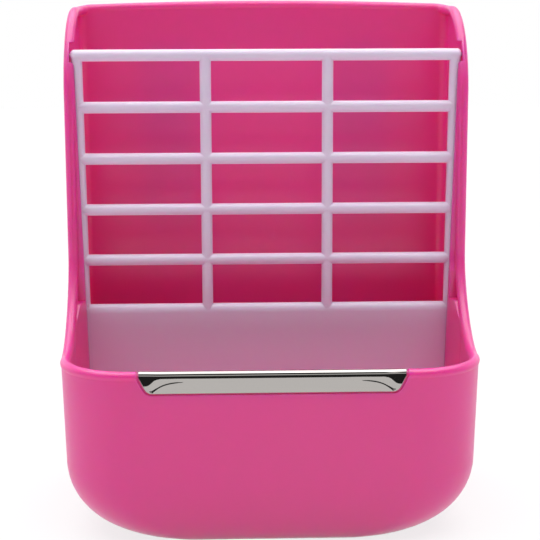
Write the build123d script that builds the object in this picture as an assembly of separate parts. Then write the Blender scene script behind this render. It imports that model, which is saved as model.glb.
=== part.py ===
"""Cage-hung hay feeder: moulded shell and bowl, swinging hay grille, steel chew guard, two cage clamps.

Millimetres, +Z up. X runs across the feeder, the bowl faces -Y and the cage wall is at +Y.
The origin is at the middle of the flat base.
"""

import os
from math import cos, radians, sin, tan

from build123d import *

# ---- shell, overall --------------------------------------------------------------------------
overall_width = 175.0
overall_depth = 120.0        # bowl front to the back face of the wall
side_height = 219.6          # top of the shell at its back corners
crown = 1.5                  # how much the middle of the back wall stands above its corners
bowl_height = 74.5           # top of the bowl's rim

rim_diameter = 4.4           # round bead that edges the whole mouth
rim_overhang = 0.4           # how far the bead stands proud of the walls outside
back_overhang = 0.2
cheek_wall = 2.0             # side walls beside the hay
bowl_wall = 3.8              # side and front walls of the bowl
back_wall = 3.9              # as thick as the bead, so that its top edge runs flush inside
floor_thickness = 2.4

front_corner_radius = 30.0   # plan radius of the bowl's corners, outside the bead
back_corner_radius = 8.0
bottom_side_radius = 31.0    # rounding between the side walls and the base
bottom_front_reach = 12.0    # how far the front wall curves back before it meets the base
bottom_back_reach = 3.0
bowl_draft = 1.5             # degrees
bottom_sections = 8

cheek_edge_y = 6.4           # upright front edge of the side cheeks
sweep_height = 39.0          # height over which the cheek edge sweeps forward to the bowl's rim
sweep_ease = 0.42            # roundness of that sweep
crest_radius = 38.5          # round shoulder at the top of the cheek edge
crest_rise = 1.3             # the cheek tops climb by this much on their way round the back corner
bowl_step_z = 90.5           # the bowl's thicker side walls end here

# ---- guide ribs, rail channels and windows inside the cheeks ---------------------------------
rib_setback = 0.5            # rib face behind the bead's face
rib_fade = 24.0              # height over which that step runs out above the sweep
ramp_length = 21.0           # from the bowl's side wall in to the rib
ramp_bury = 0.9              # the ramp starts this deep in the wall
rib_top_radius = 1.6
channel_foot_gap = 2.0       # rail channel below the rails' feet
window_height = 8.6
window_floor_drop = 0.3      # window floor below the top bar

# ---- hay grille ------------------------------------------------------------------------------
bar_top_diameter = 5.1       # top cross bar
bar_low_diameter = 4.95      # what the cross bars thin to by the apron
upright_top_diameter = 5.0   # rails and inner bars
upright_low_diameter = 4.8
top_bar_z = 197.2
bar_pitch = 22.4
open_rows = 5
grille_side_gap = 0.3        # between the top bar's ends and the cheeks
rail_lean = 1.05             # how far each rail runs inwards from the top bar to the apron
side_column_width = 55.65    # from a rail to the inner bar beside it, at the top
grille_face_gap = 0.3        # bars behind the guide ribs
bar_end_round = 1.8
pin_diameter = 1.6
pin_length = 1.4
pin_gap = 0.05               # pin radius below its socket's radius
pin_end_gap = 0.2
apron_thickness = 2.6
apron_reach = 2.48           # apron's face in front of the bars' axis
apron_lip_height = 3.6       # height of the rounded front of the apron's top edge
apron_side_gap = 0.8
apron_floor_gap = 3.5
apron_rib_depth = 26.0       # how far rails and inner bars run down the apron's back

# ---- chew guard ------------------------------------------------------------------------------
guard_end_margin = 4.0       # straight rim left between each end and the bowl's corner
guard_thickness = 0.6
guard_front_leg = 8.7
guard_inner_leg = 6.0
guard_bend_radius = 2.1      # outside
guard_end_taper = 3.5        # how far each end of the front leg runs in
guard_upright_end = 2.2      # square part at the top of each end
guard_corner_radius = 3.4
guard_gap = 0.1
guard_top_drop = 0.1         # guard's top below the rim's top
guard_setback = 0.2          # guard's face behind the bowl's face
recess_margin = 0.8          # shell recess round the guard's front leg
core_flat = 0.1              # least flat left on the rim inside the guard

# ---- cage clamps -----------------------------------------------------------------------------
clamp_span = 90.0
track_foot_z = 118.0
track_height = 86.0
track_width = 24.0
track_lip = 2.4
track_corner_radius = 4.0
track_end_wall = 3.0
bolt_diameter = 6.0
bolt_length = 30.0           # under the head
bolt_end_chamfer = 0.8
bolt_head_width = 13.0
bolt_head_height = 10.0
bolt_head_thickness = 3.8
bolt_head_gap = 0.3          # round the head in its track
bolt_throat_gap = 0.4        # beside the shank
bolt_z = 170.0
entry_gap = 0.8              # round the head where it enters the track
wire_gap = 5.0               # room for the cage wires at rest
pad_thickness = 1.6
plate_thickness = 5.0
plate_width = 40.0
plate_height = 22.0
plate_corner_radius = 6.0
plate_edge_round = 1.2
plate_bore_gap = 0.3
washer_diameter = 12.0
washer_thickness = 1.6
wing_hub_diameter = 11.0
wing_hub_length = 7.5
wing_span = 34.0
wing_rise = 9.0              # how far the wings reach past the hub's face
wing_thickness = 3.0
wing_tip_radius = 5.5
wing_root_drop = 3.6         # wings spring from this far below the hub's outer face
wing_root_radius = 2.6
wing_hub_round = 1.0
thread_gap = 0.05

# ---- worked out from the sizes above ---------------------------------------------------------
rim_r = rim_diameter / 2
rim_x = overall_width / 2 - rim_r
rim_front_y = -overall_depth / 2 + rim_r
rim_back_y = overall_depth / 2 - rim_r
rim_z = bowl_height - rim_r
rim_front_radius = front_corner_radius - rim_r
rim_back_radius = back_corner_radius - rim_r
corner_start_y = rim_front_y + rim_front_radius
cheek_y = cheek_edge_y + rim_r
crest_z = side_height - crest_rise - rim_r
crest_centre_y = cheek_y + crest_radius - rim_r
sweep_top_z = rim_z + sweep_height
wall_x = overall_width / 2 - rim_overhang
wall_front_y = -overall_depth / 2 + rim_overhang
wall_back_y = overall_depth / 2 - back_overhang
cheek_inner_x = wall_x - cheek_wall
back_inner_y = wall_back_y - back_wall
mouth_inner_x = rim_x - rim_r
rib_face_y = cheek_edge_y + rib_setback
rib_back_y = cheek_edge_y + rim_diameter
wall_lean = tan(radians(bowl_draft))
bar_y = rib_back_y + grille_face_gap + bar_top_diameter / 2
rail_top_x = cheek_inner_x - grille_side_gap - bar_top_diameter / 2   # rail's centre line
rail_low_x = rail_top_x - rail_lean
inner_bar_x = rail_top_x - side_column_width
guard_length = overall_width - 2 * (front_corner_radius + guard_end_margin)
standing = (Align.CENTER, Align.CENTER, Align.MIN)
hanging = (Align.CENTER, Align.CENTER, Align.MAX)
end_roundness = 0.96          # fillet on a bar's end, as a share of its radius
round_ease = 0.55            # Bezier handle that draws a nearly circular quarter turn
far = 2 * (overall_width + overall_depth + side_height)   # longer than anything, for cutters


def down_the_grille(top_value, low_value, z):
    """A size that changes evenly from the top bar down to the apron's top."""
    return top_value + (low_value - top_value) * (top_bar_z - z) / (open_rows * bar_pitch)


def bar_radius(z):
    return down_the_grille(bar_top_diameter, bar_low_diameter, z) / 2


def upright_radius(z):
    return down_the_grille(upright_top_diameter, upright_low_diameter, z) / 2


def rail_x(z):
    return down_the_grille(rail_top_x, rail_low_x, z)


apron_bar_z = top_bar_z - open_rows * bar_pitch
apron_face_y = bar_y - apron_reach
rail_foot_z = apron_bar_z - apron_rib_depth
channel_foot_z = rail_foot_z - channel_foot_gap
bar_end_x = rail_top_x + bar_top_diameter / 2
window_floor_z = top_bar_z - bar_top_diameter / 2 - window_floor_drop
core_front_y = wall_front_y + guard_setback + guard_thickness + guard_gap
core_back_y = wall_front_y + bowl_wall
core_top_z = bowl_height - guard_top_drop - guard_thickness - guard_gap
guard_inner_bend = guard_bend_radius - guard_thickness
core_round = min(guard_inner_bend - guard_gap, (core_back_y - core_front_y - core_flat) / 2)
track_face_y = wall_back_y + bolt_head_thickness + bolt_head_gap + track_lip
bolt_seat_y = track_face_y - track_lip


# ---- shell -----------------------------------------------------------------------------------
def plan_outline(half_width, front_y, back_y, front_radius, back_radius):
    """Rounded rectangle in plan, drawn from the same corner every time so that sections loft cleanly."""
    diagonal = 1 - sin(radians(45))
    f = front_radius * diagonal
    b = back_radius * diagonal
    front_half = half_width - front_radius
    back_half = half_width - back_radius
    front_end = front_y + front_radius
    back_end = back_y - back_radius
    edges = [
        Line((-front_half, front_y), (front_half, front_y)),
        ThreePointArc((front_half, front_y), (half_width - f, front_y + f), (half_width, front_end)),
        Line((half_width, front_end), (half_width, back_end)),
        ThreePointArc((half_width, back_end), (half_width - b, back_y - b), (back_half, back_y)),
        Line((back_half, back_y), (-back_half, back_y)),
        ThreePointArc((-back_half, back_y), (b - half_width, back_y - b), (-half_width, back_end)),
        Line((-half_width, back_end), (-half_width, front_end)),
        ThreePointArc((-half_width, front_end), (f - half_width, front_y + f), (-front_half, front_y)),
    ]
    return make_face(Wire(edges))


def tub(side_wall, front_wall, back_wall_in, base_z):
    """Bowl below its rim: drafted walls curving in to a flat base, less the given walls."""
    half = wall_x - side_wall
    front = wall_front_y + front_wall
    back = wall_back_y - back_wall_in
    front_r = front_corner_radius - rim_overhang - side_wall
    back_r = back_corner_radius - back_overhang - back_wall_in
    lean = (rim_z - bottom_side_radius) * wall_lean
    rise = bottom_side_radius - base_z
    sections = []
    for i in range(bottom_sections + 1):
        turn = radians(90.0 * i / bottom_sections)
        curve = 1 - cos(turn)
        outline = plan_outline(
            half - lean - rise * curve,
            front + lean + bottom_front_reach * curve,
            back - bottom_back_reach * curve,
            front_r,
            back_r,
        )
        sections.append(Pos(0, 0, bottom_side_radius - rise * sin(turn)) * outline)
    brim = Pos(0, 0, rim_z) * plan_outline(half, front, back, front_r, back_r)
    walls = loft([sections[0], brim], ruled=True)
    return loft(sections[::-1]) + walls


def prism(side_wall, front_wall, back_wall_in, foot_z, top_z):
    """Upright continuation of the bowl's plan, with walls taken off for its inside."""
    outline = plan_outline(
        wall_x - side_wall,
        wall_front_y + front_wall,
        wall_back_y - back_wall_in,
        front_corner_radius - rim_overhang - side_wall,
        back_corner_radius - back_overhang - back_wall_in,
    )
    return extrude(Pos(0, 0, foot_z) * outline, top_z - foot_z)


def side_curve(x):
    """Centre line of the bead along one cheek, from the bowl's corner to the back corner."""
    foot = (x, corner_start_y, rim_z)
    sweep_end = (x, cheek_y, sweep_top_z)
    handle_foot = (x, corner_start_y + sweep_ease * (cheek_y - corner_start_y), rim_z)
    handle_end = (x, cheek_y, sweep_top_z - sweep_ease * sweep_height)
    arc_r = crest_centre_y - cheek_y
    arc_start = (x, cheek_y, crest_z - arc_r)
    diagonal = arc_r * sin(radians(45))
    arc_middle = (x, crest_centre_y - diagonal, crest_z - arc_r + diagonal)
    arc_end = (x, crest_centre_y, crest_z)
    return [
        Bezier(foot, handle_foot, handle_end, sweep_end),
        Line(sweep_end, arc_start),
        ThreePointArc(arc_start, arc_middle, arc_end),
    ]


def mouth_path(side):
    """Centre line of the bead round one half of the mouth; side is 1 or -1."""
    corner_x = rim_x - rim_front_radius
    diagonal = rim_front_radius * sin(radians(45))
    middle = (side * (corner_x + diagonal), corner_start_y - diagonal, rim_z)
    front_end = (side * corner_x, rim_front_y, rim_z)
    edges = [
        Line((0, rim_front_y, rim_z), front_end),
        ThreePointArc(front_end, middle, (side * rim_x, corner_start_y, rim_z)),
    ]
    edges += side_curve(side * rim_x)
    start = Vector(side * rim_x, crest_centre_y, crest_z)
    end = Vector(side * (rim_x - rim_back_radius), rim_back_y, crest_z + crest_rise)
    top = Vector(0, rim_back_y, crest_z + crest_rise + crown)
    over = ThreePointArc(Vector(-end.X, end.Y, end.Z), top, end)
    heading = (over % 1) * -1
    reach = rim_back_y - crest_centre_y
    bend = round_ease * rim_back_radius
    start_handle = start + Vector(0, reach - rim_back_radius + bend, 0)
    edges.append(Bezier(start, start_handle, end - heading * bend, end))
    edges.append(ThreePointArc(end, over @ 0.75, top))
    return edges


def bead():
    """Round bead along the whole mouth."""
    halves = []
    for side in (1, -1):
        path = Wire(mouth_path(side))
        section = Plane(origin=(0, rim_front_y, rim_z), z_dir=(side, 0, 0)) * Circle(rim_r)
        halves.append(sweep(section, path=path))
    return halves[0] + halves[1]


def side_profile():
    """Side view of the shell under the bead's centre line, as a solid slab across the feeder."""
    back = overall_depth
    top = crest_z + crest_rise + crown
    edges = side_curve(0)
    outline = Wire(
        edges
        + [
            Line((0, crest_centre_y, crest_z), (0, back, crest_z)),
            Line((0, back, crest_z), (0, back, -rim_r)),
            Line((0, back, -rim_r), (0, -back, -rim_r)),
            Line((0, -back, -rim_r), (0, -back, rim_z)),
            Line((0, -back, rim_z), (0, corner_start_y, rim_z)),
        ]
    )
    slab = extrude(make_face(outline), far / 2, dir=(1, 0, 0), both=True)
    back_top = Box(far, rim_back_radius + rim_r, top, align=(Align.CENTER, Align.MAX, Align.MIN))
    return slab + Pos(0, overall_depth / 2, 0) * back_top


def crowned_top():
    """Everything under the back wall's crowned top edge."""
    half = rim_x - rim_back_radius
    radius = (half**2 + crown**2) / (2 * crown)
    top = crest_z + crest_rise + crown
    return Pos(0, 0, top - radius) * Cylinder(radius, far / 2, rotation=(90, 0, 0))


def bolt_track():
    """One T-slot block on the back wall, and the slot cut out of it."""
    low = (Align.CENTER, Align.MAX, Align.MIN)
    block = Box(track_width, track_face_y - back_inner_y - back_wall / 2, track_height, align=low)
    block = fillet(block.edges().filter_by(Axis.Y), track_corner_radius)
    slot_height = track_height - 2 * track_end_wall
    head_room = bolt_head_thickness + bolt_head_gap
    slot = Box(bolt_head_width + 2 * bolt_head_gap, head_room, slot_height, align=low)
    throat = Box(bolt_diameter + 2 * bolt_throat_gap, 2 * track_lip, slot_height, align=low)
    entry_width = bolt_head_width + 2 * entry_gap
    entry = Box(entry_width, 2 * track_lip, bolt_head_height + 2 * entry_gap, align=low)
    slot = Pos(0, -track_lip, 0) * slot + Pos(0, track_lip, 0) * (throat + entry)
    place = Pos(0, track_face_y, track_foot_z)
    return place * block, place * Pos(0, 0, track_end_wall) * slot


def guard_core():
    """Rim between the guard's legs: what the recess leaves standing."""
    depth = core_back_y - core_front_y
    core = Box(far, depth, core_top_z, align=(Align.CENTER, Align.MIN, Align.MIN))
    core = Pos(0, core_front_y, 0) * core
    return fillet(core.edges().filter_by(Axis.X).group_by(Axis.Z)[-1], core_round)


def leg_outline(margin):
    """Front view of the guard's front leg, grown by a margin."""
    half = guard_length / 2 + margin
    top = bowl_height - guard_top_drop + rim_diameter
    shoulder = bowl_height - guard_top_drop - guard_upright_end - margin / 2
    foot = bowl_height - guard_top_drop - guard_front_leg - margin
    points = [
        (-half, top),
        (half, top),
        (half, shoulder),
        (half - guard_end_taper, foot),
        (guard_end_taper - half, foot),
        (-half, shoulder),
    ]
    leg = make_face(Polyline(points, close=True))
    return fillet(leg.vertices().group_by(Axis.Y)[0], guard_corner_radius + margin)


def guard_recess():
    """Room for the guard round the front rim."""
    room = extrude(Plane.XZ * leg_outline(recess_margin), far, both=True)
    back = core_back_y + rim_diameter
    slab = Box(far, overall_depth, bowl_height + rim_diameter, align=(Align.CENTER, Align.MAX, Align.MIN))
    return (room & Pos(0, back, 0) * slab) - guard_core()


def hay_space():
    """Room between the cheeks, full width above the bowl's step."""
    return prism(cheek_wall, bowl_wall, back_wall, bowl_step_z, side_height + 2 * crown)


def rail_channels():
    """Full-width room behind the guide ribs, from below the rails' feet up to the windows."""
    room = prism(cheek_wall, bowl_wall, back_wall, channel_foot_z, window_floor_z + window_height)
    behind = Box(far, far, far, align=(Align.CENTER, Align.MIN, Align.CENTER))
    return room & Pos(0, rib_back_y, 0) * behind


def leaning_block(plan, top_z, foot_z):
    """Block under a plan outline, its inner side drafted inwards on the way down."""
    height = top_z - foot_z
    outline = Pos(0, 0, top_z) * make_face(Polyline(plan, close=True))
    return Solid.extrude(outline.face(), Vector(-height * wall_lean, 0, -height))


def guide_rib(side):
    """Upright rib behind the cheek's bead, that the grille rests against, and the ramp up to it."""
    outer_x = wall_x + rim_diameter
    ramp_x = wall_x - bowl_wall + ramp_bury + (bowl_step_z - rim_z) * wall_lean
    step_x = mouth_inner_x - (window_floor_z - bowl_step_z) * wall_lean
    top_plan = [
        (outer_x, rib_face_y),
        (mouth_inner_x, rib_face_y),
        (mouth_inner_x, rib_back_y),
        (outer_x, rib_back_y),
    ]
    ramp_plan = [
        (outer_x, rib_face_y - ramp_length),
        (ramp_x, rib_face_y - ramp_length),
        (step_x, rib_face_y),
        (step_x, rib_back_y),
        (outer_x, rib_back_y),
    ]
    rib = leaning_block(top_plan, window_floor_z, bowl_step_z - rim_r)
    rib += leaning_block(ramp_plan, bowl_step_z, floor_thickness)
    return rib if side > 0 else mirror(rib, Plane.YZ)


def wall_middle():
    """Everything inside the middle of the shell's walls, where the ribs end."""
    halves = (cheek_wall / 2, bowl_wall / 2, back_wall / 2)
    return tub(*halves, floor_thickness / 2) + prism(*halves, rim_z, side_height)


def rib_step(side):
    """What is taken off the bead's inner half so that the rib's face meets it in a small step."""
    front = -overall_depth
    fade_z = sweep_top_z + rib_fade
    low_z = sweep_top_z - rim_r
    slope = rib_setback / rib_fade
    points = [
        (front, window_floor_z),
        (rib_face_y, window_floor_z),
        (rib_face_y, fade_z),
        (rib_face_y - slope * (fade_z - low_z), low_z),
        (front, low_z),
    ]
    step = extrude(Plane.YZ * make_face(Polyline(points, close=True)), cheek_inner_x, dir=(1, 0, 0))
    room = Box(2 * rim_diameter, far, far, align=(Align.MAX, Align.CENTER, Align.CENTER))
    step &= Pos(cheek_inner_x, 0, 0) * room
    return step if side > 0 else mirror(step, Plane.YZ)


def bearing_window(side):
    """Window in the bead's inner half where the end of the top bar lies."""
    inner_x = rim_x - rim_diameter
    width = cheek_inner_x - inner_x
    cut = Box(width, far, window_height, align=(Align.MIN, Align.MAX, Align.MIN))
    cut = Pos(inner_x, crest_centre_y, window_floor_z) * cut
    corner = Box(2 * rib_top_radius, far, 2 * rib_top_radius)
    roller = Pos(rib_top_radius, 0, -rib_top_radius) * Cylinder(rib_top_radius, far, rotation=(90, 0, 0))
    cut += Pos(mouth_inner_x, crest_centre_y - far / 2, window_floor_z) * (corner - roller)
    return cut if side > 0 else mirror(cut, Plane.YZ)


def pin_socket(side):
    """Blind hole in the cheek for the pin of the top bar."""
    foot = bar_end_x + pin_length + pin_end_gap
    depth = foot - cheek_inner_x + cheek_wall
    hole = Cylinder(pin_diameter / 2 + pin_gap, depth, align=hanging)
    return Pos(side * foot, bar_y, top_bar_z) * Rot(0, 90 * side, 0) * hole


def body_shell():
    """The moulded shell: bowl, cheeks and back wall in one piece."""
    mouth = bead()
    blocks, slots = bolt_track()
    sides = (1, -1)
    bowl = tub(bowl_wall, bowl_wall, back_wall, floor_thickness)
    bowl += prism(bowl_wall, bowl_wall, back_wall, rim_z, bowl_step_z)
    body = tub(0, 0, 0, 0) + prism(0, 0, 0, rim_z, side_height + crown)
    body &= side_profile() & crowned_top()
    for side in sides:
        body += Pos(side * clamp_span / 2, 0, 0) * blocks
    body -= bowl + hay_space()
    body += mouth
    inside = wall_middle() & side_profile()
    for side in sides:
        body += guide_rib(side) & inside
    body -= rail_channels()
    for side in sides:
        body -= rib_step(side)
        body -= bearing_window(side)
        body -= pin_socket(side)
        body -= Pos(side * clamp_span / 2, 0, 0) * slots
    return body - guard_recess()


# ---- hay grille ------------------------------------------------------------------------------
def upright(top_x, foot_x):
    """Rail or inner bar: tapers down to a rounded foot behind the apron."""
    top = Vector(top_x, bar_y, top_bar_z)
    axis = Vector(foot_x, bar_y, rail_foot_z) - top
    foot_r = upright_radius(rail_foot_z)
    bar = Cone(upright_radius(top_bar_z), foot_r, axis.length, align=standing)
    bar = fillet(bar.edges().group_by(Axis.Z)[-1], foot_r * end_roundness)
    return Plane(origin=top, z_dir=axis) * bar


def cross_bar(z):
    """Level bar from rail to rail."""
    return Pos(0, bar_y, z) * Cylinder(bar_radius(z), 2 * rail_x(z), rotation=(0, 90, 0))


def top_bar():
    """The bar that the grille swings on: rounded ends, with a pin on each."""
    bar = Cylinder(bar_top_diameter / 2, 2 * bar_end_x)
    bar = fillet(bar.edges().filter_by(GeomType.CIRCLE), bar_end_round)
    bar += Cylinder(pin_diameter / 2, 2 * (bar_end_x + pin_length))
    return Pos(0, bar_y, top_bar_z) * Rot(0, 90, 0) * bar


def apron():
    """Panel below the bars: rounded top edge, drafted sides, well-rounded lower corners."""
    top = apron_bar_z + apron_reach
    foot = floor_thickness + apron_floor_gap
    back = apron_face_y + apron_thickness
    lip_start = top - apron_lip_height
    diagonal = apron_reach * sin(radians(45))
    back_start = (bar_y + apron_reach, apron_bar_z)
    back_middle = (bar_y + diagonal, apron_bar_z + diagonal)
    edges = [
        Line((apron_face_y, foot), (apron_face_y, lip_start)),
        Bezier(
            (apron_face_y, lip_start),
            (apron_face_y, lip_start + round_ease * apron_lip_height),
            (bar_y - (1 - round_ease) * apron_reach, top),
            (bar_y, top),
        ),
        ThreePointArc((bar_y, top), back_middle, back_start),
        Line(back_start, (back, apron_bar_z - 2 * apron_reach)),
        Line((back, apron_bar_z - 2 * apron_reach), (back, foot)),
        Line((back, foot), (apron_face_y, foot)),
    ]
    section = extrude(Plane.YZ * make_face(Wire(edges)), far / 2, both=True)
    brim = wall_x - bowl_wall - apron_side_gap
    corner = bottom_side_radius - floor_thickness
    base = brim - (top - foot) * wall_lean
    points = [(-brim, top), (brim, top), (base, foot), (-base, foot)]
    front = make_face(Polyline(points, close=True))
    front = fillet(front.vertices().group_by(Axis.Y)[0], corner)
    return section & extrude(Plane.XZ * front, far, both=True)


def hay_grille():
    """Bars, rails and apron in one moulding, hung on two pins."""
    body = apron() + top_bar()
    for side in (1, -1):
        body += upright(side * rail_top_x, side * rail_x(rail_foot_z))
        body += upright(side * inner_bar_x, side * inner_bar_x)
    for row in range(1, open_rows):
        body += cross_bar(top_bar_z - row * bar_pitch)
    return body


# ---- chew guard ------------------------------------------------------------------------------
def chew_guard():
    """Steel strip folded over the front rim, its front leg cut back at both ends."""
    outer_front = core_front_y - guard_gap - guard_thickness
    outer_back = core_back_y + guard_gap + guard_thickness
    top = bowl_height - guard_top_drop
    depth = outer_back - outer_front
    low = (Align.CENTER, Align.MIN, Align.MAX)
    fold = Pos(0, outer_front, top) * Box(guard_length, depth, guard_front_leg, align=low)
    fold = fillet(fold.edges().filter_by(Axis.X).group_by(Axis.Z)[-1], guard_bend_radius)
    hollow = Box(far, depth - 2 * guard_thickness, guard_front_leg, align=low)
    hollow = Pos(0, outer_front + guard_thickness, top - guard_thickness) * hollow
    hollow = fillet(hollow.edges().filter_by(Axis.X).group_by(Axis.Z)[-1], guard_inner_bend)
    shortened = Box(far, far, guard_front_leg, align=low)
    shortened = Pos(0, (outer_front + outer_back) / 2, top - guard_inner_leg) * shortened
    return (fold - hollow - shortened) & extrude(Plane.XZ * leg_outline(0), far, both=True)


# ---- cage clamps -----------------------------------------------------------------------------
def along_y(y):
    """Place a piece drawn along +Z so that it points out of the back wall from this Y."""
    return Pos(0, y, bolt_z) * Rot(-90, 0, 0)


def t_bolt():
    """Square-headed bolt: head in the track, shank out through the slot."""
    head = Box(bolt_head_width, bolt_head_height, bolt_head_thickness, align=hanging)
    shank = Cylinder(bolt_diameter / 2, bolt_length, align=standing)
    shank = chamfer(shank.edges().group_by(Axis.Z)[-1], bolt_end_chamfer)
    return along_y(bolt_seat_y - bolt_head_gap / 2) * (head + shank)


def plate_blank(thickness):
    blank = RectangleRounded(plate_width, plate_height, plate_corner_radius)
    blank -= Circle(bolt_diameter / 2 + plate_bore_gap)
    return extrude(blank, thickness)


def clamp_pad():
    return along_y(track_face_y + wire_gap) * plate_blank(pad_thickness)


def clamp_plate():
    plate = plate_blank(plate_thickness)
    rim_edges = plate.faces().sort_by(Axis.Z)[-1].outer_wire().edges()
    return along_y(track_face_y + wire_gap + pad_thickness) * fillet(rim_edges, plate_edge_round)


def washer():
    ring = Circle(washer_diameter / 2) - Circle(bolt_diameter / 2 + plate_bore_gap)
    seat_y = track_face_y + wire_gap + pad_thickness + plate_thickness
    return along_y(seat_y) * extrude(ring, washer_thickness)


def wing_nut():
    """Hub with two wings that rise past its outer face."""
    hub = Cylinder(wing_hub_diameter / 2, wing_hub_length, align=standing)
    hub = fillet(hub.edges().group_by(Axis.Z)[-1], wing_hub_round)
    tip_x = wing_span / 2 - wing_tip_radius
    tip_z = wing_hub_length + wing_rise - wing_tip_radius
    root_z = wing_hub_length - wing_root_drop
    lobe = Pos(tip_x, tip_z) * Circle(wing_tip_radius)
    neck = make_hull(lobe.edges() + (Pos(0, root_z) * Circle(wing_root_radius)).edges())
    wing = extrude(Plane.XZ * neck, wing_thickness / 2, both=True)
    nut = hub + wing + mirror(wing, Plane.YZ)
    bore = Cylinder(bolt_diameter / 2 + thread_gap, far)
    y = track_face_y + wire_gap + pad_thickness + plate_thickness + washer_thickness
    return along_y(y) * (nut - bore)


def main():
    nodes = {"body_shell": body_shell(), "hay_grille": hay_grille(), "chew_guard": chew_guard()}
    clamp = {
        "t_bolt": t_bolt(),
        "clamp_pad": clamp_pad(),
        "clamp_plate": clamp_plate(),
        "washer": washer(),
        "wing_nut": wing_nut(),
    }
    for name, piece in clamp.items():
        nodes[name + "_right"] = Pos(clamp_span / 2, 0, 0) * piece
        nodes[name + "_left"] = Pos(-clamp_span / 2, 0, 0) * piece
    os.makedirs("parts", exist_ok=True)
    for name, piece in nodes.items():
        export_step(piece, "parts/" + name + ".step")


main()
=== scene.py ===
"""Finishes, small pieces, lights and camera for a cage-hung hay feeder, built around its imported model.

Metres, +Z up, in the feeder's own frame: X runs across it, the bowl faces -Y and the cage wall is at +Y.
"""

from math import cos, exp, radians, sin

import bmesh
import bpy
from bpy.props import FloatProperty, FloatVectorProperty, PointerProperty, StringProperty
from mathutils import Matrix, Vector


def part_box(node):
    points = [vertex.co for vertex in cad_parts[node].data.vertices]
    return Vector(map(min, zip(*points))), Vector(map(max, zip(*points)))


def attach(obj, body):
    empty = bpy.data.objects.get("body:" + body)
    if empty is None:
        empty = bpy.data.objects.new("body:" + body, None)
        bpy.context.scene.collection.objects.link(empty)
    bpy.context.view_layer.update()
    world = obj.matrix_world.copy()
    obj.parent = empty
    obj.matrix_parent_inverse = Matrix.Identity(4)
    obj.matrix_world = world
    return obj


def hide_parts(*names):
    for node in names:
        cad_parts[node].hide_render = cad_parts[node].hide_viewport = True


bl_info = {
    "name": "Hay feeder finishes",
    "version": (1, 0, 0),
    "blender": (4, 5, 0),
    "location": "View3D > Sidebar > Feeder",
    "description": "Finishes, small pieces and stage for a cage-hung hay feeder",
    "category": "Object",
}

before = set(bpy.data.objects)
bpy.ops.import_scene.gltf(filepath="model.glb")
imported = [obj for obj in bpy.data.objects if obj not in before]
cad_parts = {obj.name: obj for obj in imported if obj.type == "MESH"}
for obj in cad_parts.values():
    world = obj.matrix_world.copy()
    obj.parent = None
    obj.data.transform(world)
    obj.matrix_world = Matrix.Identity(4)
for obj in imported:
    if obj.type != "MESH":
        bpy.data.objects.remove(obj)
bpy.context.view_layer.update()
MM = 0.001
SIDES = ("left", "right")


# ---- settings --------------------------------------------------------------------------------------
class FeederColours(bpy.types.PropertyGroup):
    """Colours of the mouldings and metals, as sRGB hex."""

    shell: StringProperty(name="Shell", description="Pink of the moulded shell", default="#EC48A0")
    shell_flow: StringProperty(
        name="Shell flow", description="Lighter cloud in the pink", default="#ED4CA4"
    )
    grille: StringProperty(name="Grille", description="White of the grille", default="#F0E2FA")
    white_flow: StringProperty(
        name="White flow", description="Duller cloud in the grille and the plates", default="#ECDEF6"
    )
    plate: StringProperty(name="Plate", description="White of the clamp plates", default="#E4E2E6")
    stainless: StringProperty(name="Stainless", description="Polished chew guard", default="#BDB9B5")
    zinc: StringProperty(name="Zinc", description="Plated bolts, washers and nuts", default="#C3C5C8")
    zinc_bloom: StringProperty(
        name="Zinc bloom", description="Dull patches in the plating", default="#9EA1A6"
    )
    rubber: StringProperty(name="Rubber", description="Clamp pads", default="#26262A")
    rubber_bloom: StringProperty(
        name="Rubber bloom", description="Dusty cloud on the pads", default="#37373B"
    )


class FeederSizes(bpy.types.PropertyGroup):
    """Real sizes of the surface patterns, of the guard's sheet and of the bolts."""

    grain: FloatProperty(
        name="Mould grain", description="Texture of the moulds", default=0.5 * MM, unit="LENGTH"
    )
    flow: FloatProperty(
        name="Flow marks", description="Clouds from the melt", default=38 * MM, unit="LENGTH"
    )
    scuff: FloatProperty(name="Scuffs", description="Handling marks", default=2.6 * MM, unit="LENGTH")
    polish: FloatProperty(name="Polish lines", description="Buffing lines", default=0.3 * MM, unit="LENGTH")
    bloom: FloatProperty(name="Bloom", description="Dull patches", default=2.2 * MM, unit="LENGTH")
    soft_edge: FloatProperty(name="Soft edge", description="Edge radius", default=0.45 * MM, unit="LENGTH")
    sheet: FloatProperty(name="Sheet", description="Guard's thickness", default=0.5 * MM, unit="LENGTH")
    guard_bend: FloatProperty(
        name="Guard bend", description="Half depth of the guard's fold", default=2.1 * MM, unit="LENGTH"
    )
    guard_end: FloatProperty(
        name="Guard end", description="Square part at the top of each end", default=2.2 * MM, unit="LENGTH"
    )
    guard_taper: FloatProperty(
        name="Guard taper", description="How far each end runs in", default=3.5 * MM, unit="LENGTH"
    )
    guard_corner: FloatProperty(
        name="Guard corner", description="Radius of the lower corners", default=3.4 * MM, unit="LENGTH"
    )
    guard_inner: FloatProperty(
        name="Guard inner leg", description="Height of the inner leg", default=6.0 * MM, unit="LENGTH"
    )
    shank: FloatProperty(name="Shank", description="Radius of the bolts", default=3.0 * MM, unit="LENGTH")
    thread_pitch: FloatProperty(
        name="Pitch", description="Pitch of the bolt threads", default=1.0 * MM, unit="LENGTH"
    )
    thread_depth: FloatProperty(
        name="Depth", description="Depth of the bolt threads", default=0.5 * MM, unit="LENGTH"
    )
    bolt_head: FloatProperty(
        name="Bolt head", description="Thickness of the bolt heads", default=3.8 * MM, unit="LENGTH"
    )


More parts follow.
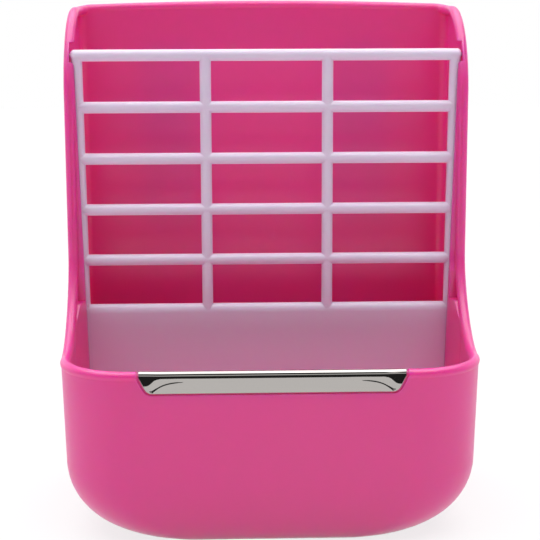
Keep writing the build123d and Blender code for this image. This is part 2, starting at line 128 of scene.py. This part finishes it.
class StageSettings(bpy.types.PropertyGroup):
    """Camera, lights, room and floor."""

    focal_pixels: FloatProperty(name="Focal length", description="In pixels of a 540 frame", default=1390.0)
    camera_place: FloatVectorProperty(
        name="Camera",
        description="Place of the lens",
        size=3,
        default=(-0.0175, -0.596, 0.210),
        unit="LENGTH",
    )
    pitch: FloatProperty(
        name="Pitch", description="Down from level", default=radians(10.0), subtype="ANGLE"
    )
    yaw: FloatProperty(
        name="Yaw", description="Right of straight ahead", default=radians(1.76), subtype="ANGLE"
    )
    roll: FloatProperty(
        name="Roll", description="Tilt of the frame", default=radians(-0.19), subtype="ANGLE"
    )
    key_power: FloatProperty(
        name="Key", description="Softbox above the right front", default=1.08, unit="POWER"
    )
    fill_power: FloatProperty(name="Fill", description="Softbox above the left", default=1.8, unit="POWER")
    overhead: FloatProperty(name="Overhead", description="Brightness of the softbox overhead", default=2.3)
    lean: FloatProperty(name="Lean", description="How far that softbox leans over the back", default=0.2)
    backdrop: FloatProperty(name="Backdrop", description="Brightness of the white wall behind", default=0.7)
    whiteness: FloatProperty(
        name="Whiteness", description="Share of plain white in the floor", default=0.75
    )
    floor_glow: FloatProperty(name="Floor glow", description="Strength of that plain white", default=1.06)
    mirrored: FloatProperty(name="Mirrored white", description="White floor in reflections", default=0.9)


# ---- materials -------------------------------------------------------------------------------------
PLASTIC_IOR, PLASTIC_SHEEN = 1.5, 0.9
PLASTIC_SCUFF = (-0.03, 0.04)  # roughness of the smoothest and the most handled places, round the base
GRAIN_STRENGTH, GRAIN_DEPTH = 0.03, 0.02 * MM
# Roughness, depth of scatter, and how far red, green and blue go within it.
SHELL_FINISH = (0.315, (5 * MM, (1.0, 0.1, 0.7)))
GRILLE_FINISH = (0.32, (1 * MM, (1.0, 0.8, 0.9)))
PLATE_FINISH = (0.33, (2 * MM, (1.0, 0.9, 0.9)))
STEEL_ROUGHNESS = 0.05
BUFF_SHRINK = 0.02  # scale of the pattern along the strip, which draws its lines out
BUFF_STRENGTH, BUFF_DEPTH = 0.05, 0.01 * MM
ZINC_ROUGHNESS = (0.2, 0.42)
RUBBER_ROUGHNESS, PEBBLE_STRENGTH, PEBBLE_DEPTH = 0.75, 0.3, 0.1 * MM


def linear(hex_colour):
    """sRGB hex to linear RGBA."""
    values = [int(hex_colour[i : i + 2], 16) / 255 for i in (1, 3, 5)]
    return [v / 12.92 if v <= 0.04045 else ((v + 0.055) / 1.055) ** 2.4 for v in values] + [1.0]


def add(material, kind, inputs=None, **properties):
    """Add a shader node: properties are set on it, inputs take a value or another node's output."""
    tree = material.node_tree
    node = tree.nodes.new(kind)
    for name, value in properties.items():
        setattr(node, name, value)
    for name, value in (inputs or {}).items():
        if isinstance(value, bpy.types.NodeSocket):
            tree.links.new(value, node.inputs[name])
        else:
            node.inputs[name].default_value = value
    return node


def new_material(name):
    """Empty node material."""
    material = bpy.data.materials.new(name)
    material.use_nodes = True
    material.node_tree.nodes.clear()
    return material


def moulded_plastic(name, colours, roughness, glow):
    """Injection-moulded polypropylene, which shows as cloudy colour, soft gloss and glowing thin walls.

    glow is how deep light scatters, in metres, and how far each colour goes within that.
    """
    sizes = bpy.context.scene.feeder_sizes
    m = new_material(name)
    place = add(m, "ShaderNodeTexCoord").outputs["Object"]
    # Flow clouds: the slight unevenness of colour that a large moulding has.
    cloud = add(m, "ShaderNodeTexNoise", {"Vector": place, "Scale": 1 / sizes.flow, "Detail": 3.0})
    tint = add(
        m,
        "ShaderNodeMix",
        {"Factor": cloud.outputs["Fac"], "A": linear(colours[0]), "B": linear(colours[1])},
        data_type="RGBA",
    )
    # Scuffs: small patches of handling that break up the gloss.
    scuffs = add(m, "ShaderNodeTexNoise", {"Vector": place, "Scale": 1 / sizes.scuff, "Detail": 6.0})
    low, high = roughness + PLASTIC_SCUFF[0], roughness + PLASTIC_SCUFF[1]
    span = {"From Min": 0.35, "From Max": 0.7, "To Min": low, "To Max": high}
    gloss = add(m, "ShaderNodeMapRange", {"Value": scuffs.outputs["Fac"], **span})
    # Rounded arrises catch a thin highlight, and the mould's grain takes the last sharpness off it.
    edges = add(m, "ShaderNodeBevel", {"Radius": sizes.soft_edge}, samples=6)
    grain = add(m, "ShaderNodeTexNoise", {"Vector": place, "Scale": 1 / sizes.grain, "Detail": 2.0})
    relief = add(
        m,
        "ShaderNodeBump",
        {
            "Height": grain.outputs["Fac"],
            "Strength": GRAIN_STRENGTH,
            "Distance": GRAIN_DEPTH,
            "Normal": edges.outputs["Normal"],
        },
    )
    # Light scatters in the plastic, so thin walls and shadows keep their colour.
    depth, reach = glow
    surface = add(
        m,
        "ShaderNodeBsdfPrincipled",
        {
            "Base Color": tint.outputs["Result"],
            "Roughness": gloss.outputs["Result"],
            "Normal": relief.outputs["Normal"],
            "IOR": PLASTIC_IOR,
            "Specular IOR Level": PLASTIC_SHEEN,
            "Subsurface Weight": 1.0,
            "Subsurface Radius": reach,
            "Subsurface Scale": depth,
        },
    )
    add(m, "ShaderNodeOutputMaterial", {"Surface": surface.outputs["BSDF"]})
    return m


def polished_stainless(colour):
    """Buffed stainless sheet, which shows as sharp reflections drawn out by faint lines along the strip."""
    sizes = bpy.context.scene.feeder_sizes
    m = new_material("polished_stainless")
    place = add(m, "ShaderNodeTexCoord").outputs["Object"]
    # Buffing lines: noise drawn out along the strip, so that reflections smear a little across it.
    along = add(m, "ShaderNodeMapping", {"Vector": place, "Scale": (BUFF_SHRINK, 1.0, 1.0)})
    lines = add(m, "ShaderNodeTexNoise", {"Vector": along.outputs["Vector"], "Scale": 1 / sizes.polish})
    ground = {"Height": lines.outputs["Fac"], "Strength": BUFF_STRENGTH, "Distance": BUFF_DEPTH}
    relief = add(m, "ShaderNodeBump", ground)
    surface = add(
        m,
        "ShaderNodeBsdfPrincipled",
        {
            "Base Color": linear(colour),
            "Metallic": 1.0,
            "Roughness": STEEL_ROUGHNESS,
            "Normal": relief.outputs["Normal"],
        },
    )
    add(m, "ShaderNodeOutputMaterial", {"Surface": surface.outputs["BSDF"]})
    return m


def zinc_plate(colours):
    """Bright zinc plating on steel, which shows as satin metal with duller patches and soft edges."""
    sizes = bpy.context.scene.feeder_sizes
    m = new_material("zinc_plated_steel")
    place = add(m, "ShaderNodeTexCoord").outputs["Object"]
    # Bloom: greyer patches of plating, rougher where they are greyer.
    patches = add(m, "ShaderNodeTexNoise", {"Vector": place, "Scale": 1 / sizes.bloom, "Detail": 4.0})
    tint = add(
        m,
        "ShaderNodeMix",
        {"Factor": patches.outputs["Fac"], "A": linear(colours[0]), "B": linear(colours[1])},
        data_type="RGBA",
    )
    span = {"From Min": 0.3, "From Max": 0.7, "To Min": ZINC_ROUGHNESS[0], "To Max": ZINC_ROUGHNESS[1]}
    gloss = add(m, "ShaderNodeMapRange", {"Value": patches.outputs["Fac"], **span})
    # Edges that plating has rounded catch the light as a fine line.
    edges = add(m, "ShaderNodeBevel", {"Radius": sizes.soft_edge / 2}, samples=4)
    surface = add(
        m,
        "ShaderNodeBsdfPrincipled",
        {
            "Base Color": tint.outputs["Result"],
            "Metallic": 1.0,
            "Roughness": gloss.outputs["Result"],
            "Normal": edges.outputs["Normal"],
        },
    )
    add(m, "ShaderNodeOutputMaterial", {"Surface": surface.outputs["BSDF"]})
    return m


def pressed_rubber(colours):
    """Pressed rubber, which shows as matt black with a dusty bloom and a fine pebble."""
    sizes = bpy.context.scene.feeder_sizes
    m = new_material("pressed_rubber")
    place = add(m, "ShaderNodeTexCoord").outputs["Object"]
    # Dust: paler cloud on the black.
    dust = add(m, "ShaderNodeTexNoise", {"Vector": place, "Scale": 1 / sizes.bloom, "Detail": 5.0})
    tint = add(
        m,
        "ShaderNodeMix",
        {"Factor": dust.outputs["Fac"], "A": linear(colours[0]), "B": linear(colours[1])},
        data_type="RGBA",
    )
    # Pebble: rounded cells that keep the black from looking smooth.
    pebble = add(m, "ShaderNodeTexVoronoi", {"Vector": place, "Scale": 1 / sizes.grain})
    cells = {"Height": pebble.outputs["Distance"], "Strength": PEBBLE_STRENGTH, "Distance": PEBBLE_DEPTH}
    relief = add(m, "ShaderNodeBump", cells)
    surface = add(
        m,
        "ShaderNodeBsdfPrincipled",
        {
            "Base Color": tint.outputs["Result"],
            "Roughness": RUBBER_ROUGHNESS,
            "Normal": relief.outputs["Normal"],
        },
    )
    add(m, "ShaderNodeOutputMaterial", {"Surface": surface.outputs["BSDF"]})
    return m


def dress(node, material):
    """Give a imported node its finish."""
    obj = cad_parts[node]
    obj.data.materials.clear()
    obj.data.materials.append(material)


# ---- chew guard ------------------------------------------------------------------------------------
# Mesh: steps round each bend, columns near the ends and between them, and rows.
BEND_STEPS = 10
END_ZONE, END_STEP, LONG_STEP, ROW = 15 * MM, 0.18 * MM, 1.5 * MM, 0.2 * MM
FOLD_STRETCH = 1.52  # height of the fold over its half depth
# Pressed ends: the sheet tilts back under the fold.
PILLOW_TILT = radians(11)
PILLOW_START = 0.72  # share of the fold above the tilt
PILLOW_FADE = (1.0 * MM, 9.0 * MM)  # from the end: where the tilt starts to ease, and where it is gone
PILLOW_DROP = 3.3 * MM  # height of the tilted part
PILLOW_RISE = 0.15 * MM  # how far the sheet swells below it
# Crease: a groove that climbs from each end's foot and runs out along the leg.
CREASE_DEPTH, CREASE_WIDTH = 0.13 * MM, 0.42 * MM
CREASE_LEVEL, CREASE_DROP = 0.45 * MM, 4.4 * MM  # below the fold, far from the end; and more at the end
CREASE_REACH, CREASE_POWER = 7.7 * MM, 1.7  # how fast it climbs
CREASE_START, CREASE_FADE, CREASE_END = 2.3 * MM, 11 * MM, 24 * MM  # from the end


def ease(value, start, end):
    """Smooth step from 0 to 1."""
    part = min(max((value - start) / (end - start), 0.0), 1.0)
    return part * part * (3 - 2 * part)


def sweep(sheet, geometry, steps, move, **how):
    """Extrude vertices or edges and move them on, as often as asked; gives the last ones."""
    for _ in range(steps):
        if isinstance(geometry[0], bmesh.types.BMVert):
            grown = bmesh.ops.extrude_vert_indiv(sheet, verts=geometry)["verts"]
            points = grown
        else:
            made = bmesh.ops.extrude_edge_only(sheet, edges=geometry)["geom"]
            grown = [piece for piece in made if isinstance(piece, bmesh.types.BMEdge)]
            points = [piece for piece in made if isinstance(piece, bmesh.types.BMVert)]
        move(sheet, verts=points, **how)
        geometry = grown
    return geometry


def guard_half(z, low, high, sizes):
    """Half the strip's length at a height: square at the top, then running in to a rounded foot."""
    half = (high.x - low.x) / 2
    shoulder = high.z - sizes.guard_end
    slope = sizes.guard_taper / (shoulder - low.z)
    slant = half - slope * max(shoulder - z, 0.0)
    steep = (1 + slope**2) ** 0.5
    radius = sizes.guard_corner
    if z >= low.z + radius * (1 - slope / steep):
        return slant
    centre = half - slope * (shoulder - low.z - radius) - radius * steep
    return centre + max(radius**2 - (low.z + radius - z) ** 2, 0.0) ** 0.5


def guard_relief(end, drop, fold):
    """How far the front leg's face lies back, at a distance from an end and from the top."""
    pillow = 1 - ease(end, *PILLOW_FADE)
    tilted = PILLOW_DROP * pillow
    passed = min(max(drop - PILLOW_START * fold, 0.0), tilted)
    back = PILLOW_TILT * (tilted - passed) - PILLOW_RISE * pillow
    crease = fold + CREASE_LEVEL + CREASE_DROP * exp(-((max(end, 0.0) / CREASE_REACH) ** CREASE_POWER))
    shown = ease(end, CREASE_START / 2, CREASE_START) * (1 - ease(end, CREASE_FADE, CREASE_END))
    shown *= 2 - ease(end, CREASE_START, 3 * CREASE_START)  # deepest at the foot
    return back + shown * CREASE_DEPTH * exp(-(((drop - crease) / CREASE_WIDTH) ** 2))


def guard_sheet(sizes):
    """Outer face of the strip, from the front foot over the rim to the inner foot."""
    low, high = (Vector(corner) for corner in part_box("chew_guard"))
    bend, step = sizes.guard_bend, Matrix.Rotation(-radians(90) / BEND_STEPS, 3, "X")
    strip = bmesh.new()
    # Profile: up the front leg, over the rim in two quarter bends, and down the inner leg.
    rows = round((high.z - bend - low.z) / ROW)
    inner_rows = round((sizes.guard_inner - bend) / ROW)
    move, turn = bmesh.ops.translate, bmesh.ops.rotate
    edge = [strip.verts.new(low)]
    edge = sweep(strip, edge, rows, move, vec=(0, 0, (high.z - bend - low.z) / rows))
    edge = sweep(strip, edge, BEND_STEPS, turn, cent=(low.x, low.y + bend, high.z - bend), matrix=step)
    edge = sweep(strip, edge, 1, move, vec=(0, high.y - low.y - 2 * bend, 0))
    edge = sweep(strip, edge, BEND_STEPS, turn, cent=(low.x, high.y - bend, high.z - bend), matrix=step)
    sweep(strip, edge, inner_rows, move, vec=(0, 0, (bend - sizes.guard_inner) / inner_rows))
    # Length: fine columns at each end, where the relief is.
    fine = round(END_ZONE / END_STEP)
    coarse = round((high.x - low.x - 2 * END_ZONE) / LONG_STEP)
    line = sweep(strip, strip.edges[:], fine, move, vec=(END_ZONE / fine, 0, 0))
    line = sweep(strip, line, coarse, move, vec=((high.x - low.x - 2 * END_ZONE) / coarse, 0, 0))
    sweep(strip, line, fine, move, vec=(END_ZONE / fine, 0, 0))
    # Shape: a fold taller than its half depth, the relief, and the ends' outline.
    middle, half, depth = (low.x + high.x) / 2, (high.x - low.x) / 2, high.y - low.y
    fold = FOLD_STRETCH * bend
    leg = (high.z - low.z - fold) / (high.z - low.z - bend)
    for point in strip.verts:
        drop = high.z - point.co.z
        point.co.z = high.z - (min(drop, bend) * FOLD_STRETCH + max(drop - bend, 0.0) * leg)
        end = half - abs(point.co.x - middle)
        front = 1 - ease(point.co.y, low.y + bend, low.y + depth)
        point.co.y += front * guard_relief(end, high.z - point.co.z, fold)
        point.co.x = middle + (point.co.x - middle) * guard_half(point.co.z, low, high, sizes) / half
    if max(strip.faces, key=lambda face: face.calc_center_median().z).normal.z < 0:
        bmesh.ops.reverse_faces(strip, faces=strip.faces[:])
    return strip


# ---- bolts -----------------------------------------------------------------------------------------
TURN_STEPS = 18
HEAD_BEVEL = 0.5 * MM
THREAD_GAP = 0.03 * MM  # crests inside the plain shank's size, so that the nut runs free
THREAD_START = 1.5  # pitches that the thread starts inside the head
SMOOTH_ANGLE = radians(38)  # steeper edges than this stay sharp
# Thread form: share of the pitch, and share of the depth.
THREAD_FORM = ((0.0, 0.0), (0.08, 0.0), (0.42, 1.0), (0.56, 1.0), (0.92, 0.0), (1.0, 0.0))


def threaded_bolt(side, sizes):
    """Square-headed bolt: a bevelled head, and a shank with a helical thread and a faced end."""
    low, high = (Vector(corner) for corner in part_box("t_bolt_" + side))
    centre = (low + high) / 2
    shank_radius = sizes.shank - THREAD_GAP
    bolt = bmesh.new()
    size = Matrix.Diagonal((high.x - low.x, sizes.bolt_head, high.z - low.z, 1))
    place = Matrix.Translation((centre.x, low.y + sizes.bolt_head / 2, centre.z))
    bmesh.ops.create_cube(bolt, size=1, matrix=place @ size)
    bmesh.ops.bevel(
        bolt, geom=bolt.edges[:], offset=HEAD_BEVEL, segments=3, profile=0.5, affect="EDGES", material=-1
    )
    thread = bmesh.new()
    pitch, root = sizes.thread_pitch, shank_radius - sizes.thread_depth
    start = low.y + sizes.bolt_head - THREAD_START * pitch
    points = [
        thread.verts.new((centre.x, start + along * pitch, centre.z + root + out * sizes.thread_depth))
        for along, out in THREAD_FORM
    ]
    for pair in zip(points, points[1:]):
        thread.edges.new(pair)
    turns = round((high.y - start) / pitch) + 2
    bmesh.ops.spin(
        thread,
        geom=thread.verts[:] + thread.edges[:],
        cent=centre,
        axis=(0, 1, 0),
        dvec=(0, pitch / TURN_STEPS, 0),
        angle=radians(360) * turns,
        steps=TURN_STEPS * turns,
    )
    bmesh.ops.remove_doubles(thread, verts=thread.verts[:], dist=0.01 * MM)
    for cut, way in ((low.y + sizes.bolt_head / 2, -1), (high.y, 1)):
        everything = thread.verts[:] + thread.edges[:] + thread.faces[:]
        bmesh.ops.bisect_plane(
            thread, geom=everything, plane_co=(0, cut, 0), plane_no=(0, way, 0), clear_outer=True
        )
    rims = [edge for edge in thread.edges if edge.is_boundary]
    bmesh.ops.holes_fill(thread, edges=rims, sides=0)
    bmesh.ops.recalc_face_normals(thread, faces=thread.faces[:])
    shank = bpy.data.meshes.new("thread")
    thread.to_mesh(shank)
    thread.free()
    bolt.from_mesh(shank)
    bpy.data.meshes.remove(shank)
    return bolt


def place_piece(name, shape, material, node, body):
    """Make an object from a shape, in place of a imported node."""
    mesh = bpy.data.meshes.new(name)
    shape.to_mesh(mesh)
    shape.free()
    mesh.materials.append(material)
    mesh.shade_smooth()
    mesh.set_sharp_from_angle(angle=SMOOTH_ANGLE)
    piece = bpy.data.objects.new(name, mesh)
    bpy.context.scene.collection.objects.link(piece)
    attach(piece, body)
    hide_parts(node)
    return piece


# ---- operators -------------------------------------------------------------------------------------
class FEEDER_OT_shell(bpy.types.Operator):
    """Finish the pink shell"""

    bl_idname = "feeder.shell"
    bl_label = "Shell"

    def execute(self, context):
        colours = context.scene.feeder_colours
        pink = (colours.shell, colours.shell_flow)
        dress("body_shell", moulded_plastic("pink_moulded_plastic", pink, *SHELL_FINISH))
        return {"FINISHED"}


class FEEDER_OT_grille(bpy.types.Operator):
    """Finish the white grille"""

    bl_idname = "feeder.grille"
    bl_label = "Grille"

    def execute(self, context):
        colours = context.scene.feeder_colours
        white = (colours.grille, colours.white_flow)
        dress("hay_grille", moulded_plastic("white_moulded_plastic", white, *GRILLE_FINISH))
        return {"FINISHED"}


class FEEDER_OT_guard(bpy.types.Operator):
    """Finish the steel chew guard"""

    bl_idname = "feeder.guard"
    bl_label = "Chew guard"

    def execute(self, context):
        sizes = context.scene.feeder_sizes
        steel = polished_stainless(context.scene.feeder_colours.stainless)
        guard = place_piece("guard_sheet", guard_sheet(sizes), steel, "chew_guard", "shell")
        wall = guard.modifiers.new("sheet thickness", "SOLIDIFY")
        wall.thickness = sizes.sheet
        wall.offset = -1.0
        wall.use_even_offset = True
        return {"FINISHED"}


class FEEDER_OT_clamps(bpy.types.Operator):
    """Finish the cage clamps"""

    bl_idname = "feeder.clamps"
    bl_label = "Cage clamps"

    def execute(self, context):
        colours = context.scene.feeder_colours
        zinc = zinc_plate((colours.zinc, colours.zinc_bloom))
        white = (colours.plate, colours.white_flow)
        plastic = moulded_plastic("white_clamp_plastic", white, *PLATE_FINISH)
        rubber = pressed_rubber((colours.rubber, colours.rubber_bloom))
        for side in SIDES:
            bolt = threaded_bolt(side, context.scene.feeder_sizes)
            place_piece("threaded_bolt_" + side, bolt, zinc, "t_bolt_" + side, "bolt_" + side)
            dress("washer_" + side, zinc)
            dress("wing_nut_" + side, zinc)
            dress("clamp_plate_" + side, plastic)
            dress("clamp_pad_" + side, rubber)
        return {"FINISHED"}


class FEEDER_OT_stage(bpy.types.Operator):
    """Set up the floor, lights, room and camera"""

    bl_idname = "feeder.stage"
    bl_label = "Stage"

    def execute(self, context):
        stage = context.scene.feeder_stage
        context.scene.view_settings.view_transform = "Standard"
        build_floor(stage)
        build_room(context.scene, stage)
        softbox("key", KEY_PLACE, KEY_SIZE, stage.key_power)
        softbox("fill", FILL_PLACE, FILL_SIZE, stage.fill_power)
        build_camera(context.scene, stage)
        return {"FINISHED"}


# ---- stage -----------------------------------------------------------------------------------------
FRAME_PIXELS = 540
SENSOR_WIDTH = 36.0  # camera's own unit, millimetres
FLOOR_HALF = 3.0
FLOOR_MATT = (0.8, 0.8, 0.8, 1.0)
WHITE = (1.0, 1.0, 1.0, 1.0)
LIGHTS_TARGET = (0, 0, 0.1)
KEY_PLACE, KEY_SIZE = (0.36, -0.36, 0.85), 0.6
FILL_PLACE, FILL_SIZE = (-0.6, -0.2, 0.9), 0.8
# Height of a direction in the room, and its share of the overhead light: one pale strip in the dark below.
ROOM_BANDS = ((0.0, 0.01), (0.24, 0.01), (0.29, 0.3), (0.42, 0.3), (0.47, 0.01), (0.72, 0.02), (0.8, 1.0))
BACKDROP_START = (0.1, 0.3)  # how far back a direction points where the wall behind starts to show
BACKDROP_TOP = (0.45, 0.6)  # height where that wall fades out


def build_floor(stage):
    """White table that shows as plain white, and still takes the feeder's shadow in its light."""
    mesh = bpy.data.meshes.new("floor")
    sheet = bmesh.new()
    bmesh.ops.create_grid(sheet, x_segments=1, y_segments=1, size=FLOOR_HALF)
    sheet.to_mesh(mesh)
    sheet.free()
    floor = bpy.data.objects.new("floor", mesh)
    bpy.context.scene.collection.objects.link(floor)
    m = new_material("white_floor")
    matt = add(m, "ShaderNodeBsdfDiffuse", {"Color": FLOOR_MATT})
    # Reflections see plain white, the camera sees it over part of the shadow, and other light the matt.
    rays = add(m, "ShaderNodeLightPath")
    through = {0: rays.outputs["Is Glossy Ray"], 1: rays.outputs["Is Transmission Ray"]}
    mirrored = add(m, "ShaderNodeMath", through, operation="MAXIMUM")
    part = {0: rays.outputs["Is Camera Ray"], 1: stage.whiteness}
    faded = add(m, "ShaderNodeMath", part, operation="MULTIPLY")
    either = {0: faded.outputs["Value"], 1: mirrored.outputs["Value"]}
    shown = add(m, "ShaderNodeMath", either, operation="MAXIMUM")
    ends = {"To Min": stage.floor_glow, "To Max": stage.mirrored}
    level = add(m, "ShaderNodeMapRange", {"Value": mirrored.outputs["Value"], **ends})
    glow = {"Color": WHITE, "Strength": level.outputs["Result"]}
    white = add(m, "ShaderNodeEmission", glow)
    parts = {0: shown.outputs["Value"], 1: matt.outputs["BSDF"], 2: white.outputs["Emission"]}
    mix = add(m, "ShaderNodeMixShader", parts)
    add(m, "ShaderNodeOutputMaterial", {"Surface": mix.outputs["Shader"]})
    mesh.materials.append(m)


def build_room(scene, stage):
    """White room to the camera; as a light, a softbox overhead, dark below it, and a white wall behind."""
    world = bpy.data.worlds.new("white_room")
    world.use_nodes = True
    world.node_tree.nodes.clear()
    heading = add(world, "ShaderNodeTexCoord").outputs["Generated"]
    split = add(world, "ShaderNodeSeparateXYZ", {"Vector": heading})
    lean = {0: split.outputs["Y"], 1: stage.lean, 2: split.outputs["Z"]}
    height = add(world, "ShaderNodeMath", lean, operation="MULTIPLY_ADD")
    bands = add(world, "ShaderNodeValToRGB", {"Fac": height.outputs["Value"]})
    steps = bands.color_ramp.elements
    for place, shade in ROOM_BANDS:
        steps.new(place).color = (shade, shade, shade, 1.0)
    steps.remove(steps[0])
    steps.remove(steps[-1])
    near, far = BACKDROP_START
    side = {"Value": split.outputs["Y"], "From Min": near, "From Max": far, "To Max": stage.backdrop}
    behind = add(world, "ShaderNodeMapRange", side)
    start, end = BACKDROP_TOP
    rise = {"Value": split.outputs["Z"], "From Min": start, "From Max": end, "To Min": 1.0, "To Max": 0.0}
    below = add(world, "ShaderNodeMapRange", rise)
    both = {0: behind.outputs["Result"], 1: below.outputs["Result"]}
    backdrop = add(world, "ShaderNodeMath", both, operation="MULTIPLY")
    lit = {0: bands.outputs["Color"], 1: stage.overhead, 2: backdrop.outputs["Value"]}
    light = add(world, "ShaderNodeMath", lit, operation="MULTIPLY_ADD")
    seen = add(world, "ShaderNodeLightPath").outputs["Is Camera Ray"]
    shown = add(world, "ShaderNodeMix", {"Factor": seen, "A": light.outputs["Value"], "B": 1.0})
    white = {"Color": WHITE, "Strength": shown.outputs["Result"]}
    room = add(world, "ShaderNodeBackground", white)
    add(world, "ShaderNodeOutputWorld", {"Surface": room.outputs["Background"]})
    scene.world = world


def softbox(name, place, size, power):
    """Square area light aimed at the feeder."""
    light = bpy.data.lights.new(name, "AREA")
    light.shape = "SQUARE"
    light.size = size
    light.energy = power
    lamp = bpy.data.objects.new(name, light)
    aim = (Vector(LIGHTS_TARGET) - Vector(place)).to_track_quat("-Z", "Y")
    lamp.matrix_world = Matrix.Translation(place) @ aim.to_matrix().to_4x4()
    bpy.context.scene.collection.objects.link(lamp)


def build_camera(scene, stage):
    """Camera in front of the feeder, near the height of its top, looking slightly down."""
    lens = bpy.data.cameras.new("camera")
    lens.sensor_width = SENSOR_WIDTH
    lens.lens = lens.sensor_width * stage.focal_pixels / FRAME_PIXELS
    lens.clip_start = 0.01
    level = cos(stage.pitch)
    forward = Vector((sin(stage.yaw) * level, cos(stage.yaw) * level, -sin(stage.pitch)))
    right = Vector((cos(stage.yaw), -sin(stage.yaw), 0.0))
    up = right.cross(forward)
    turned_right = right * cos(stage.roll) + up * sin(stage.roll)
    turned_up = up * cos(stage.roll) - right * sin(stage.roll)
    turn = Matrix((turned_right, turned_up, -forward)).transposed().to_4x4()
    camera = bpy.data.objects.new("camera", lens)
    camera.matrix_world = Matrix.Translation(stage.camera_place) @ turn
    scene.collection.objects.link(camera)
    scene.camera = camera


class FEEDER_PT_panel(bpy.types.Panel):
    """Lists the feeder's operators"""

    bl_idname = "FEEDER_PT_panel"
    bl_label = "Hay feeder"
    bl_space_type = "VIEW_3D"
    bl_region_type = "UI"
    bl_category = "Feeder"

    def draw(self, context):
        for operator in OPERATORS:
            self.layout.operator(operator.bl_idname)


GROUPS = (FeederColours, FeederSizes, StageSettings)
OPERATORS = (FEEDER_OT_shell, FEEDER_OT_grille, FEEDER_OT_guard, FEEDER_OT_clamps, FEEDER_OT_stage)


def register():
    for part in GROUPS + OPERATORS + (FEEDER_PT_panel,):
        bpy.utils.register_class(part)
    bpy.types.Scene.feeder_colours = PointerProperty(type=FeederColours)
    bpy.types.Scene.feeder_sizes = PointerProperty(type=FeederSizes)
    bpy.types.Scene.feeder_stage = PointerProperty(type=StageSettings)


def unregister():
    del bpy.types.Scene.feeder_colours
    del bpy.types.Scene.feeder_sizes
    del bpy.types.Scene.feeder_stage
    for part in reversed(GROUPS + OPERATORS + (FEEDER_PT_panel,)):
        bpy.utils.unregister_class(part)


def main():
    register()
    bpy.ops.feeder.shell()
    bpy.ops.feeder.grille()
    bpy.ops.feeder.guard()
    bpy.ops.feeder.clamps()
    bpy.ops.feeder.stage()


if __name__ == "__main__":
    main()
